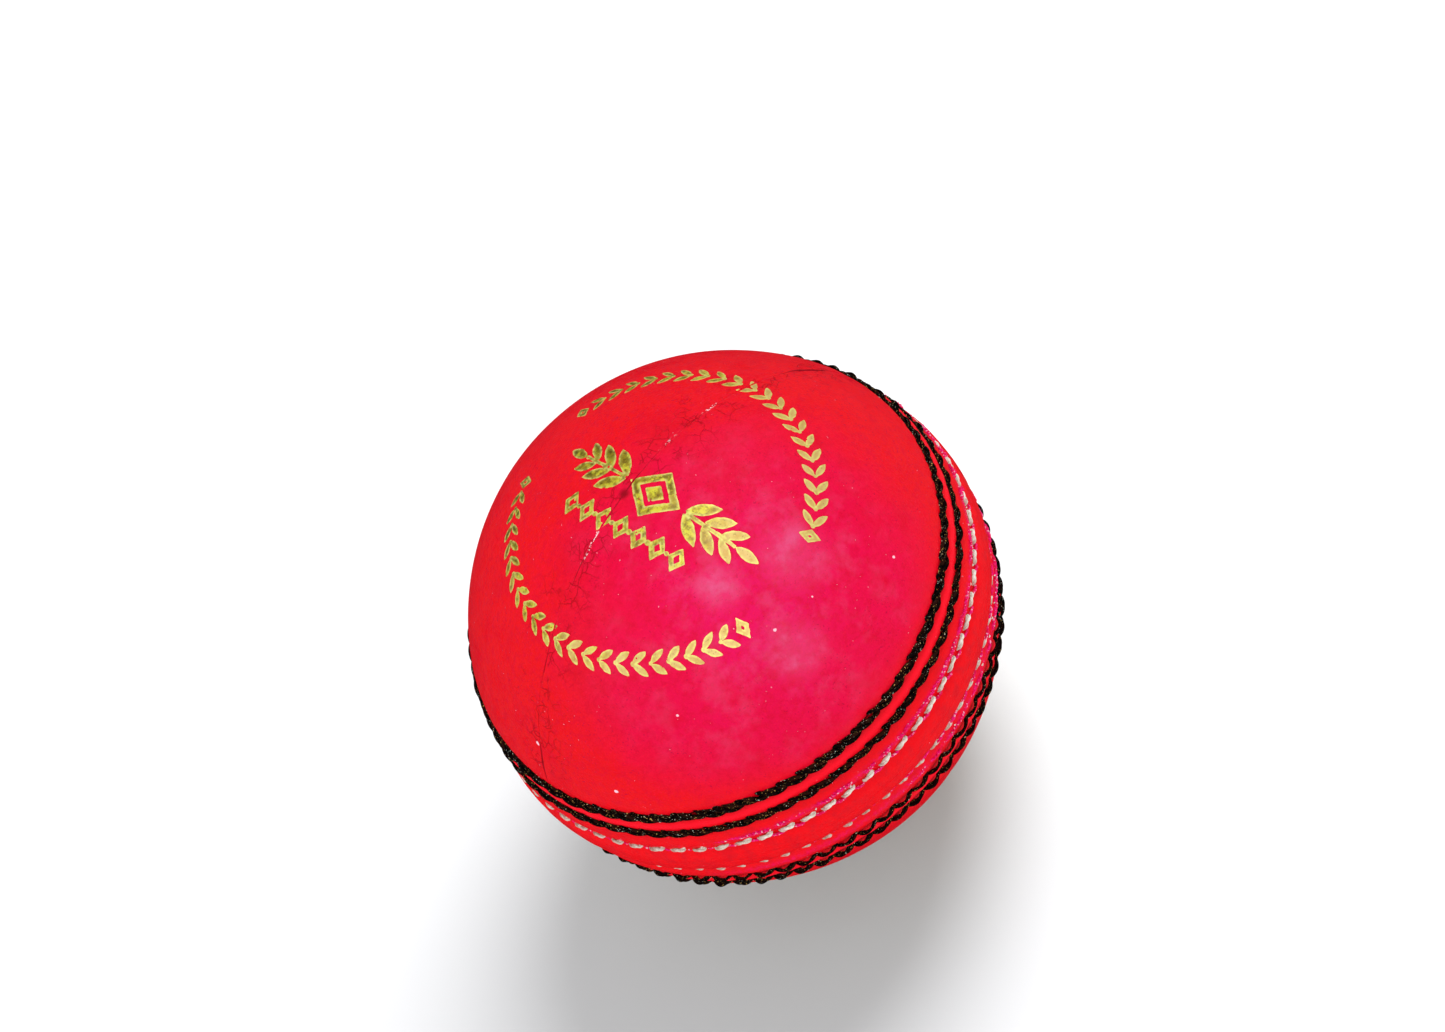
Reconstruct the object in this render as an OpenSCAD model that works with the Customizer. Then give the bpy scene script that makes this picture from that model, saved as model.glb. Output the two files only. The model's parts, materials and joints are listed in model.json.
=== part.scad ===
// Four-piece cricket ball: cork and rubber nucleus, wound and corked core,
// four leather quarters in two cups, and six rows of seam stitching.
// The origin is the centre of the ball. The seam lies in the XY plane and +Z is
// the seam's axis. The upper cup's quarter seam runs along X, the lower's along Y.

/* [Ball] */
// Diameter of the leather over the two poles
ball_d = 72; // [70:0.5:73]
// Thickness of the leather quarters
leather_t = 4; // [3.6:0.1:4.6]
// Height of the raised crown between the two closing rows
crown_h = 0.35; // [0.2:0.05:0.5]

/* [Seam] */
// Stitches in each row, a multiple of four so that the cups match
stitches = 72; // [68:4:76]
// Angle of the outer decorative row above the seam plane
outer_lat = 17.3; // [16.8:0.1:18]
// Angle of the middle decorative row above the seam plane
middle_lat = 12.0; // [11.6:0.1:12.4]
// Angle of the closing row above the seam plane
closing_lat = 5.3; // [5.1:0.1:5.6]
// Diameter of the black waxed thread
black_thread_d = 0.85; // [0.7:0.05:0.9]
// Diameter of the natural closing thread
white_thread_d = 0.85; // [0.7:0.05:0.9]
// Slant of the black stitches against the row
black_slant = 12; // [8:1:14]
// Slant of the closing stitches against the row
white_slant = 15; // [12:1:16]

/* [Quarter seams] */
// Hidden butt stitches along each quarter seam
butt_stitches = 24; // [18:1:26]
// Diameter of the butt stitch thread
butt_thread_d = 0.6; // [0.5:0.05:0.8]
// Width of the lining strip glued behind each quarter seam
lining_w = 12; // [8:1:16]
// Thickness of the lining strip
lining_t = 0.6; // [0.4:0.1:0.8]

/* [Core] */
// Diameter of the cork and rubber nucleus
nucleus_d = 26; // [22:1:28]
// Thickness of each layer of cork slivers
cork_t = 2.2; // [1.6:0.2:2.4]
// Slivers laid around the core in each cork layer
slivers = 8; // [6:1:10]

/* [Hidden] */
$fn = 96;

ball_r = ball_d / 2;
core_r = ball_r - leather_t;            // inside of the leather
nucleus_r = nucleus_d / 2;
yarn_t = (core_r - nucleus_r - 2 * cork_t) / 3;
r1 = nucleus_r + yarn_t;                // inner yarn to inner cork
r2 = r1 + cork_t;
r3 = r2 + yarn_t;
r4 = r3 + cork_t;

pitch = 360 / stitches;
pitch_len = 2 * PI * ball_r / stitches;
row_phase = 0.25;                       // keeps every hole clear of the quarter seams
thread_rho = ball_r - 0.05;             // threads are centred just under the surface
groove_depth = 0.5;
groove_w = 1.5;
hole_play = 0.05;
blind = 2.4;                            // how deep a decorative stitch is anchored
closing_tilt = 62;                      // the closing stitch leans towards the seam plane
crown_z = ball_r * sin(closing_lat) - groove_w / 2;

leather_col = [0.90, 0.10, 0.22];
black_col = [0.06, 0.05, 0.06];
white_col = [0.93, 0.86, 0.78];
cork_col = [0.70, 0.50, 0.33];
yarn_col = [0.86, 0.80, 0.68];
rubber_col = [0.42, 0.28, 0.20];
lining_col = [0.74, 0.60, 0.46];

// A frame on the ball: x is outwards, y runs round the seam, z is towards the pole
module on_ball(lat, az, rho) {
    rotate([0, 0, az]) rotate([0, -lat, 0]) translate([rho, 0, 0]) children();
}

// A stitch is a bar on the surface between two round knuckles. The thread turns
// at one knuckle and its leg goes down into the needle hole.
knuckle = 1.05;                         // knuckle size against the thread

// Distance between the two knuckles, so that a stitch stops short of the next
function bar_len(d) = pitch_len - 0.12 - knuckle * d;
// Where the leg starts; side is +1 for the leading end and -1 for the trailing end
function leg_y(d, slant, side) = side * bar_len(d) / 2 * cos(slant);
function leg_z(d, slant, side) = side * bar_len(d) / 2 * sin(slant);
// Length of the closing stitch's leg, so that it ends just above the seam plane
function closing_leg() =
    (thread_rho * sin(closing_lat) + leg_z(white_thread_d, white_slant, -1) * cos(closing_lat) - 0.24)
    / sin(closing_tilt + closing_lat);

module leg(d, len, tilt) {
    rotate([0, -(90 + tilt), 0]) cylinder(h = len, d = d, $fn = 24);
}

module stitch(d, slant, side, tilt, len) {
    rotate([slant, 0, 0]) {
        rotate([-90, 0, 0]) translate([0, 0, -bar_len(d) / 2]) cylinder(h = bar_len(d), d = d, $fn = 24);
        translate([0, -bar_len(d) / 2, 0]) sphere(d = knuckle * d, $fn = 24);
        translate([0, bar_len(d) / 2, 0]) sphere(d = knuckle * d, $fn = 24);
    }
    translate([0, leg_y(d, slant, side), leg_z(d, slant, side)]) leg(d, len, tilt);
}

module needle_hole(d, slant, side, tilt, len) {
    translate([0, leg_y(d, slant, side), leg_z(d, slant, side)])
        leg(d + 2 * hole_play, len, tilt);
}

// Decorative row: each stitch is anchored in its own cup only. cup is +1 for the
// upper cup and -1 for the lower one, whose stitches slant the other way.
module black_row(lat, cup) {
    for (i = [0:stitches - 1])
        on_ball(cup * lat, (i + row_phase) * pitch, thread_rho)
            stitch(black_thread_d, -cup * black_slant, 1, 0, blind);
}

// Closing row: each leg meets the other cup's leg at the seam plane
module closing_row(cup) {
    for (i = [0:stitches - 1])
        on_ball(cup * closing_lat, (i + 1 - row_phase) * pitch, thread_rho)
            stitch(white_thread_d, cup * white_slant, -1, cup * closing_tilt, closing_leg());
}

// Needle holes of half a row, under one quarter
module black_holes(lat) {
    for (i = [0:stitches / 2 - 1])
        on_ball(lat, (i + row_phase) * pitch, thread_rho)
            needle_hole(black_thread_d, -black_slant, 1, 0, blind + 0.05);
}

module closing_holes() {
    for (i = [0:stitches / 2 - 1])
        on_ball(closing_lat, (i + 1 - row_phase) * pitch, thread_rho)
            needle_hole(white_thread_d, white_slant, -1, closing_tilt, closing_leg() + 1.2);
}

// Section of a cup: leather shell, grooves for three rows, and the crown at the lip
module groove(lat, depth) {
    rotate(lat) translate([ball_r - depth, -groove_w / 2]) square([depth + 2, groove_w]);
}

module cup_section() {
    difference() {
        union() {
            intersection() {
                circle(r = ball_r, $fn = 180);
                square([ball_r + 4, ball_r + 4]);
            }
            intersection() {
                circle(r = ball_r + crown_h, $fn = 180);
                square([ball_r + 4, crown_z]);
            }
        }
        circle(r = core_r, $fn = 180);
        groove(outer_lat, groove_depth);
        groove(middle_lat, groove_depth);
        groove(closing_lat, groove_depth);
    }
}

// Butt stitch: half a ring that bites into both quarters from the inside
module butt_loop(d, sink) {
    for (k = [0:butt_stitches - 1])
        rotate([0, -(24 + k * (180 - 48) / (butt_stitches - 1)), 0])
            translate([core_r - sink, 0, 0])
                rotate([0, 90, 0]) rotate([90, 0, 90]) rotate_extrude(angle = 180, $fn = 48)
                    translate([1.7, 0]) circle(d = d, $fn = 24);
}

// One quarter of the cover: half of the upper cup, on the +Y side
module quarter() {
    difference() {
        rotate_extrude(angle = 180, $fn = 180) cup_section();
        black_holes(outer_lat);
        black_holes(middle_lat);
        closing_holes();
        butt_loop(butt_thread_d + 0.06, 0.06);
    }
}

module lining_strip() {
    intersection() {
        difference() {
            sphere(r = core_r, $fn = 180);
            sphere(r = core_r - lining_t, $fn = 180);
        }
        translate([-core_r - 1, -lining_w / 2, 4]) cube([2 * core_r + 2, lining_w, core_r]);
    }
}

module shell(ro, ri) {
    difference() {
        sphere(r = ro, $fn = 180);
        sphere(r = ri, $fn = 180);
    }
}

// Cork slivers: orange-peel segments with a hairline between neighbours
module cork_slivers(ro, ri, turn) {
    for (i = [0:slivers - 1])
        rotate([0, 0, turn + i * 360 / slivers])
            rotate_extrude(angle = 360 / slivers - 0.4, $fn = 180)
                intersection() {
                    difference() {
                        circle(r = ro, $fn = 180);
                        circle(r = ri, $fn = 180);
                    }
                    translate([0.2, -ro]) square([ro, 2 * ro]);
                }
}

// The lower cup is the upper one mirrored and given a quarter turn
module lower() {
    rotate([0, 0, 90]) mirror([0, 0, 1]) children();
}

module core_nucleus() { color(rubber_col) sphere(r = nucleus_r, $fn = 180); }
module yarn_wrap_inner() { color(yarn_col) shell(r1, nucleus_r); }
module cork_slivers_inner() { color(cork_col) cork_slivers(r2, r1, 0); }
module yarn_wrap_middle() { color(yarn_col) shell(r3, r2); }
module cork_slivers_outer() { color(cork_col) rotate([90, 0, 0]) cork_slivers(r4, r3, 20); }
module yarn_wrap_outer() {
    color(yarn_col) difference() {
        shell(core_r, r4);
        lining_strip();
        lower() lining_strip();
    }
}
module lining_strip_upper() { color(lining_col) lining_strip(); }
module lining_strip_lower() { color(lining_col) lower() lining_strip(); }
module butt_stitches_upper() { color(white_col) butt_loop(butt_thread_d, 0); }
module butt_stitches_lower() { color(white_col) lower() butt_loop(butt_thread_d, 0); }
module quarter_upper_left() { color(leather_col) quarter(); }
module quarter_upper_right() { color(leather_col) rotate([0, 0, 180]) quarter(); }
module quarter_lower_left() { color(leather_col) lower() quarter(); }
module quarter_lower_right() { color(leather_col) lower() rotate([0, 0, 180]) quarter(); }
module closing_row_upper() { color(white_col) closing_row(1); }
module closing_row_lower() { color(white_col) closing_row(-1); }
module middle_row_upper() { color(black_col) black_row(middle_lat, 1); }
module middle_row_lower() { color(black_col) black_row(middle_lat, -1); }
module outer_row_upper() { color(black_col) black_row(outer_lat, 1); }
module outer_row_lower() { color(black_col) black_row(outer_lat, -1); }

core_nucleus();
yarn_wrap_inner();
cork_slivers_inner();
yarn_wrap_middle();
cork_slivers_outer();
yarn_wrap_outer();
lining_strip_upper();
lining_strip_lower();
butt_stitches_upper();
butt_stitches_lower();
quarter_upper_left();
quarter_upper_right();
quarter_lower_left();
quarter_lower_right();
closing_row_upper();
closing_row_lower();
middle_row_upper();
middle_row_lower();
outer_row_upper();
outer_row_lower();
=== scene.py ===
import json
import math
import bpy
import numpy as np
from mathutils import Matrix, Vector

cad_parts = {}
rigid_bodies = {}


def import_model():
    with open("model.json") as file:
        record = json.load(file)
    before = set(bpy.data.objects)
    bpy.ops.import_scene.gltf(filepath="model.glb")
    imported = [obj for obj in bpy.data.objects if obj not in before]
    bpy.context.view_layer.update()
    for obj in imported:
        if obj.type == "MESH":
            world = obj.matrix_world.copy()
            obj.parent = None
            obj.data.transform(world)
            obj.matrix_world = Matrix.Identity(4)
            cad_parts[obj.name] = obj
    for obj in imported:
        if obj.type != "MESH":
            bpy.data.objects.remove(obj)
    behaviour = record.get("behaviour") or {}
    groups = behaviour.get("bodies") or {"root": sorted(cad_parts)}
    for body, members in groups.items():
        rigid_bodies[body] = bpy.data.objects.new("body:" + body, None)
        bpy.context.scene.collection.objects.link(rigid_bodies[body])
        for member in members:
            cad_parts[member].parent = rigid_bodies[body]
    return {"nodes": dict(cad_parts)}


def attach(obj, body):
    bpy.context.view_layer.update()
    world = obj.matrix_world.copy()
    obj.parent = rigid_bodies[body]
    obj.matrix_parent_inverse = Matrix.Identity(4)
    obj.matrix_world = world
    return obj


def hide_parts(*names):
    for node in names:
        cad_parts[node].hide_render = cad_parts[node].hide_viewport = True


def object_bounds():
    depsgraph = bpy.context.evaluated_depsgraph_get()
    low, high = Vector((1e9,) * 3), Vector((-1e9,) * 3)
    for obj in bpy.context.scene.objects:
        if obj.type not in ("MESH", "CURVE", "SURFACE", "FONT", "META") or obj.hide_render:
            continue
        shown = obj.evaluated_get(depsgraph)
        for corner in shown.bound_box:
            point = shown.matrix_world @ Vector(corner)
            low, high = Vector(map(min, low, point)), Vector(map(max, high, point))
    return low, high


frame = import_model()
cad_lo, cad_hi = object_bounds()

# ---------------------------------------------------------------- sizes, in millimetres
R = 36.0                     # leather over the poles
RI = 32.0                    # inside of the leather
N = 72                       # stitches in a row
PITCH = 360.0 / N            # degrees
PL = 2 * math.pi * R / N     # millimetres at the surface
LAT_A, LAT_B, LAT_W = 17.3, 12.0, 5.3
PHASE = 0.25
LINING = 12.0                # width of the lining strips
MMDEG = R * math.pi / 180.0  # millimetres in one degree

# the main view's axes
right = Vector((0.58643, -0.70855, -0.3925))
up = Vector((0.79704, 0.41848, 0.4355))
back = right.cross(up).normalized()
up = back.cross(right).normalized()
right = up.cross(back).normalized()


def seen_at(x, y):
    """The point of the unit ball that shows x radii to the right of its middle and y above."""
    return (right * x + up * y + back * math.sqrt(1 - x * x - y * y)).normalized()



# ---------------------------------------------------------------- noise
def _hash(ix, iy, iz, seed):
    h = (ix.astype(np.int64) * 374761393 + iy.astype(np.int64) * 668265263
         + iz.astype(np.int64) * 1440662683 + seed * 1274126177) & 0xFFFFFFFF
    h = ((h ^ (h >> 13)) * 1274126177) & 0xFFFFFFFF
    h = ((h ^ (h >> 16)) * 2246822519) & 0xFFFFFFFF
    return ((h ^ (h >> 15)) & 0xFFFFFF).astype(np.float64) / 0xFFFFFF * 2 - 1


def noise(p, size, seed):
    """Smooth value noise from -1 to 1. p is (n, 3) in millimetres, size the feature size."""
    q = p / size + 1000.0
    i = np.floor(q).astype(np.int64)
    f = q - i
    f = f * f * f * (f * (f * 6 - 15) + 10)
    out = np.zeros(len(p))
    for dx in (0, 1):
        wx = f[:, 0] if dx else 1 - f[:, 0]
        for dy in (0, 1):
            wy = f[:, 1] if dy else 1 - f[:, 1]
            for dz in (0, 1):
                wz = f[:, 2] if dz else 1 - f[:, 2]
                out += wx * wy * wz * _hash(i[:, 0] + dx, i[:, 1] + dy, i[:, 2] + dz, seed)
    return out


def fractal(p, size, seed, octaves=3):
    total, amp = np.zeros(len(p)), 1.0
    for k in range(octaves):
        total += amp * noise(p, size / 2 ** k, seed + 17 * k)
        amp *= 0.5
    return total / 1.75


# ---------------------------------------------------------------- the leather's surface
_pts = [(0, .38), (1, .375), (2, .35), (2.9, .29), (3.6, .17), (4.15, -.02), (4.6, -.20), (5.2, -.33),
        (5.9, -.30), (6.5, -.13), (7.1, .03), (7.9, .07), (8.7, .06), (9.6, .02), (10.5, -.12), (11.3, -.30),
        (12.0, -.36), (12.7, -.28), (13.5, -.08), (14.5, .05), (15.3, .01), (16.1, -.20), (17.3, -.36),
        (18.4, -.22), (19.4, -.04), (20.5, .02), (22, .02), (24, .0), (90, .0)]
_t = np.arange(-5, 95, 0.05)
_v = np.interp(np.abs(_t), [a for a, _ in _pts], [b for _, b in _pts])
_k = np.exp(-0.5 * (np.arange(-30, 31) * 0.05 / 0.32) ** 2)
_v = np.convolve(np.pad(_v, 30, mode="edge"), _k / _k.sum(), mode="valid")


def row_profile(alat):
    return np.interp(alat, _t, _v)


def wrap(a, period):
    return (a + period / 2) % period - period / 2


def wrinkles(q, cup, d):
    """Short creases that leave the quarter seam sideways, from 0 to 1."""
    s = np.where(cup > 0, q[:, 0], q[:, 1])
    bend = d + 0.9 * noise(q, 2.4, 43)
    wr = np.abs(noise(np.stack([s + 0.25 * bend, bend * 0.20, s * 0 + 5.0], 1), 1.5, 41))
    wr2 = np.abs(noise(q, 1.9, 42))
    where = np.clip(0.55 + 1.2 * noise(q, 6.0, 44), 0, 1)
    out = np.exp(-(wr / 0.06) ** 2) * np.exp(-(d / 3.4) ** 2)
    out = np.maximum(out, 0.6 * np.exp(-(wr2 / 0.05) ** 2) * np.exp(-(d / 2.6) ** 2))
    return out * where


def leather_height(P):
    """Height of the leather over the plain ball, in mm. P is (n, 3), unit vectors."""
    lat = np.degrees(np.arcsin(np.clip(P[:, 2], -1, 1)))
    az = np.degrees(np.arctan2(P[:, 1], P[:, 0]))
    alat = np.abs(lat)
    q = P * R
    h = row_profile(alat)
    seam = 1 / (1 + np.exp((alat - 20.5) / 0.8))
    h += 0.055 * noise(q, 15, 11) + 0.022 * noise(q, 6, 12)
    h += seam * (0.035 * noise(q, 2.2, 13) + 0.02 * noise(q, 0.9, 14))
    cup = np.where(lat >= 0, 1, -1)
    # needle holes at both ends of every stitch, pulled down by the thread
    for la, half, lift, depth, rad in ((LAT_A, 1.86, -.40, .30, .42), (LAT_B, 1.84, -.30, .28, .38),
                                       (LAT_W, 1.28, .17, .06, .32)):
        lift = lift / MMDEG
        for side in (-1, 1):
            ph = np.where((la == LAT_A) & (cup < 0), PHASE + 0.5, 1 - PHASE if la == LAT_W else PHASE)
            dx = wrap(az - (ph * PITCH + side * half / MMDEG), PITCH) * MMDEG * np.cos(np.radians(alat))
            dy = (alat - (la + side * lift)) * MMDEG
            h -= depth * np.exp(-(dx * dx + dy * dy) / (rad * rad))
    # leather bulges between the stitches, and pinches at the crown's foot
    wave = np.cos(np.radians((az / PITCH - PHASE) * 360))
    h += 0.05 * wave * np.exp(-((alat - 14.7) / 1.1) ** 2)
    wave_w = np.cos(np.radians((az / PITCH - (1 - PHASE)) * 360 + 60))
    h += 0.055 * wave_w * np.exp(-((alat - 3.5) / 0.9) ** 2)
    # beaded ridge between the closing and middle rows
    h += 0.07 * noise(q, 0.7, 21) * np.exp(-((alat - 7.7) / 0.8) ** 2)
    # hairline where the two cups meet
    h -= 0.05 * np.exp(-(alat * MMDEG / 0.09) ** 2)
    # quarter seam: across X on the upper cup, across Y on the lower
    d = np.abs(np.where(cup > 0, q[:, 1], q[:, 0]))
    along = np.where(cup > 0, 1.0, -1.0)[:, None] * q
    rough = 0.5 + 0.5 * noise(along, 1.6, 31)
    open_ = (0.35 + 0.65 * np.clip(0.5 + 0.9 * noise(along, 5.0, 32), 0, 1)) * (1 - 0.5 * seam)
    h -= open_ * (0.10 + 0.10 * rough) * np.exp(-(d / (0.09 + 0.06 * rough)) ** 2)
    h -= 0.05 * np.exp(-(d / 0.9) ** 2)
    h += 0.012 * np.exp(-((d - 0.42) / 0.25) ** 2)
    return h - 0.05 * wrinkles(q, cup, d) * (1 - seam)


def quarter_wander(P, cup):
    """Sideways drift of the quarter seam, the same for the quarters on both sides of it."""
    q = P * R
    s = np.stack([q[:, 0] if cup > 0 else q[:, 1], q[:, 2], 0 * q[:, 2] + 3.0 * cup], 1)
    w = 0.34 * noise(s, 7.0, 51) + 0.12 * noise(s, 2.2, 52)
    d = q[:, 1] if cup > 0 else q[:, 0]
    w = w * np.exp(-(d / 3.0) ** 2) * np.clip(np.abs(q[:, 2]) / 10.0, 0, 1)
    out = P.copy()
    out[:, 1 if cup > 0 else 0] += w / R
    return out / np.linalg.norm(out, axis=1)[:, None]


# ---------------------------------------------------------------- meshes
def make_mesh(name, V, quads=(), tris=(), smooth=True, mats=(), facemat=None):
    """V in millimetres."""
    quads = np.asarray(quads, dtype=np.int32).reshape(-1, 4)
    tris = np.asarray(tris, dtype=np.int32).reshape(-1, 3)
    m = bpy.data.meshes.new(name)
    V = np.asarray(V, dtype=np.float64) * 0.001
    m.vertices.add(len(V))
    m.vertices.foreach_set("co", V.astype(np.float32).ravel())
    loops = np.concatenate([quads.ravel(), tris.ravel()]).astype(np.int32)
    starts = np.concatenate([np.arange(len(quads)) * 4, len(quads) * 4 + np.arange(len(tris)) * 3]).astype(np.int32)
    m.loops.add(len(loops))
    m.loops.foreach_set("vertex_index", loops)
    m.polygons.add(len(starts))
    m.polygons.foreach_set("loop_start", starts)
    m.update(calc_edges=True)
    m.polygons.foreach_set("use_smooth", np.full(len(starts), smooth))
    for mat in mats:
        m.materials.append(mat)
    if facemat is not None:
        m.polygons.foreach_set("material_index", np.asarray(facemat, dtype=np.int32))
    m.validate()
    o = bpy.data.objects.new(name, m)
    bpy.context.scene.collection.objects.link(o)
    return o


def float_attr(o, name, values):
    a = o.data.attributes.new(name, "FLOAT", "POINT")
    a.data.foreach_set("value", np.asarray(values, dtype=np.float32))


def sharp_edges(o, on):
    """Marks edges whose two vertices are both in `on` and which border a wall."""
    me = o.data
    ev = np.zeros(len(me.edges) * 2, dtype=np.int32)
    me.edges.foreach_get("vertices", ev)
    ev = ev.reshape(-1, 2)
    flag = on[ev[:, 0]] & on[ev[:, 1]]
    a = me.attributes.get("sharp_edge") or me.attributes.new("sharp_edge", "BOOLEAN", "EDGE")
    a.data.foreach_set("value", flag)


def stitch_strips(a, b):
    """Triangles that join two polylines of vertex ids, of any lengths, end to end."""
    i = j = 0
    out = []
    while i < len(a) - 1 or j < len(b) - 1:
        if j == len(b) - 1 or (i < len(a) - 1 and (i + 1) / (len(a) - 1) <= (j + 1) / (len(b) - 1)):
            out.append((a[i], a[i + 1], b[j]))
            i += 1
        else:
            out.append((a[i], b[j + 1], b[j]))
            j += 1
    return out


def quarter(name, cup, turn, mat):
    """One leather quarter as a closed shell. cup is +1 or -1, turn 0 or 180 degrees."""
    edge = np.array([0, .05, .1, .15, .21, .28, .36, .46, .58, .74, .94, 1.16]) / MMDEG
    mid = np.linspace(edge[-1], 180 - edge[-1], 440)
    azs = np.concatenate([edge[:-1], mid, (180 - edge[:-1])[::-1]])
    low = np.array([0, .07, .15, .26, .42, .65])
    band = np.arange(0.92, 21.2, 0.29)
    up = [band[-1]]
    step = 0.3
    while up[-1] < 87.5:
        step = min(step * 1.06, 0.78)
        up.append(up[-1] + step)
    lats = np.concatenate([low, band, up[1:]])
    na, nl = len(azs), len(lats)
    A, L = np.meshgrid(np.radians(azs), np.radians(lats))
    P = np.stack([np.cos(L) * np.cos(A), np.cos(L) * np.sin(A), np.sin(L)], -1).reshape(-1, 3)
    P = np.concatenate([P, [[0, 0, 1.0]]])
    # inner surface: same columns, few rows
    ilats = np.concatenate([np.linspace(0, 84, 15)])
    A2, L2 = np.meshgrid(np.radians(azs), np.radians(ilats))
    P2 = np.stack([np.cos(L2) * np.cos(A2), np.cos(L2) * np.sin(A2), np.sin(L2)], -1).reshape(-1, 3)
    P2 = np.concatenate([P2, [[0, 0, 1.0]]])
    t = math.radians(turn)
    rz = np.array([[math.cos(t), -math.sin(t), 0], [math.sin(t), math.cos(t), 0], [0, 0, 1]])
    if cup > 0:
        M = rz
    else:  # mirrored in the seam plane, then a quarter turn
        M = np.array([[0, -1, 0], [1, 0, 0], [0, 0, 1]]) @ np.diag([1, 1, -1]) @ rz
    P, P2 = P @ M.T, P2 @ M.T
    P, P2 = quarter_wander(P, cup), quarter_wander(P2, cup)
    V = np.concatenate([P * (R + leather_height(P))[:, None], P2 * RI])
    n0 = len(P)
    idx = np.arange(na * nl).reshape(nl, na)
    q = np.stack([idx[:-1, :-1], idx[:-1, 1:], idx[1:, 1:], idx[1:, :-1]], -1).reshape(-1, 4)
    pole = na * nl
    tr = [(idx[-1, k], idx[-1, k + 1], pole) for k in range(na - 1)]
    idx2 = n0 + np.arange(na * len(ilats)).reshape(len(ilats), na)
    pole2 = n0 + na * len(ilats)
    q2 = np.stack([idx2[:-1, :-1], idx2[1:, :-1], idx2[1:, 1:], idx2[:-1, 1:]], -1).reshape(-1, 4)
    tr2 = [(idx2[-1, k + 1], idx2[-1, k], pole2) for k in range(na - 1)]
    # wall on the seam plane
    qw = np.stack([idx[0, 1:], idx[0, :-1], idx2[0, :-1], idx2[0, 1:]], -1).reshape(-1, 4)
    # wall along the quarter seam
    outer = list(idx[:, -1]) + [pole] + list(idx[::-1, 0])
    inner = list(idx2[:, -1]) + [pole2] + list(idx2[::-1, 0])
    k1, k2 = nl, len(ilats)
    tw = stitch_strips(outer[:k1 + 1], inner[:k2 + 1]) + stitch_strips(outer[k1:], inner[k2:])
    tris = np.array(tr + tr2 + [(b, a, c) for a, b, c in tw])
    quads = np.concatenate([q, q2, qw])
    if cup < 0:
        quads, tris = quads[:, ::-1], tris[:, ::-1]
    o = make_mesh(name, V, quads, tris, mats=[mat])
    on = np.zeros(len(V), bool)
    on[outer] = True
    on[inner] = True
    on[idx[0]] = True
    on[idx2[0]] = True
    sharp_edges(o, on)
    return o


def frames(C, ref):
    """Tangent, normal near ref, and side vectors along curves. C is (k, n, 3)."""
    T = np.gradient(C, axis=1)
    T /= np.linalg.norm(T, axis=2)[..., None]
    B = np.cross(T, ref)
    B /= np.linalg.norm(B, axis=2)[..., None]
    return T, np.cross(B, T), B


def tubes(C, rad, ref, sides=8, phase=0.0):
    """Closed tubes along k curves of n points. rad is (k, n) or (n,)."""
    k, n, _ = C.shape
    T, Nn, B = frames(C, ref)
    rad = np.broadcast_to(rad, (k, n))
    th = phase + np.arange(sides) * 2 * math.pi / sides
    ring = (C[:, :, None, :] + rad[:, :, None, None]
            * (np.cos(th)[None, None, :, None] * Nn[:, :, None, :] + np.sin(th)[None, None, :, None] * B[:, :, None, :]))
    V = ring.reshape(k, n * sides, 3)
    V = np.concatenate([V, C[:, :1] - T[:, :1] * rad[:, :1, None] * 0.5, C[:, -1:] + T[:, -1:] * rad[:, -1:, None] * 0.5], axis=1)
    per = n * sides + 2
    a = np.arange(n - 1)[:, None] * sides + np.arange(sides)[None, :]
    b = np.arange(n - 1)[:, None] * sides + (np.arange(sides)[None, :] + 1) % sides
    q = np.stack([a, a + sides, b + sides, b], -1).reshape(-1, 4)
    s = np.arange(sides)
    t0 = np.stack([s, (s + 1) % sides, np.full(sides, n * sides)], -1)
    e = (n - 1) * sides
    t1 = np.stack([e + (s + 1) % sides, e + s, np.full(sides, n * sides + 1)], -1)
    off = (np.arange(k) * per)[:, None, None]
    return V.reshape(-1, 3), (q[None] + off).reshape(-1, 4), (np.concatenate([t0, t1])[None] + off).reshape(-1, 3)


def join(parts):
    V, Q, T, base = [], [], [], 0
    for v, q, t in parts:
        V.append(v)
        Q.append(q + base)
        T.append(t + base)
        base += len(v)
    return np.concatenate(V), np.concatenate(Q), np.concatenate(T)


def on_ball(x, y, h, az0, lat0):
    """Points at x mm along the row and y mm towards the pole from (az0, lat0), at height h. All (k, n)."""
    lat = np.radians(lat0 + y / MMDEG)
    az = np.radians(az0) + x / (R * np.cos(np.radians(lat0)))
    u = np.stack([np.cos(lat) * np.cos(az), np.cos(lat) * np.sin(az), np.sin(lat)], -1)
    return u * (R + h)[..., None], u


def two_ply(C, ref, off, rad, lay, turn0, arc, sides=8, ply=2):
    """Strands twisted round the curves C. arc is the length along each curve, (k, n)."""
    T, Nn, B = frames(C, ref)
    out = []
    for j in range(ply):
        ph = 2 * math.pi * (arc / lay + j / ply) + turn0[:, None]
        Cj = C + (off if np.ndim(off) == 0 else off[..., None]) * (np.cos(ph)[..., None] * Nn + np.sin(ph)[..., None] * B)
        out.append(tubes(Cj, rad, ref, sides))
    return out


def arc_length(C):
    d = np.linalg.norm(np.diff(C, axis=1), axis=2)
    return np.concatenate([np.zeros((C.shape[0], 1)), np.cumsum(d, axis=1)], axis=1)


def ends(t, a, b, pa, pb, da, db):
    """How far a strand dives at its two ends: from t = a down and from t = b up."""
    return (-da * np.clip((a - t) / (1 + a), 0, 1) ** pa) - db * np.clip((t - b) / (1 - b), 0, 1) ** pb


def finish_row(name, cup, parts, mat, **marks):
    V, Q, T = join(parts)
    if cup < 0:
        V = V * np.array([1, 1, -1])
        Q, T = Q[:, ::-1], T[:, ::-1]
    o = make_mesh(name, V, Q, T, mats=[mat])
    for key, values in marks.items():
        float_attr(o, key, np.concatenate([np.broadcast_to(v, len(p[0])) for v, p in zip(values, parts)]))
    return o


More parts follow.
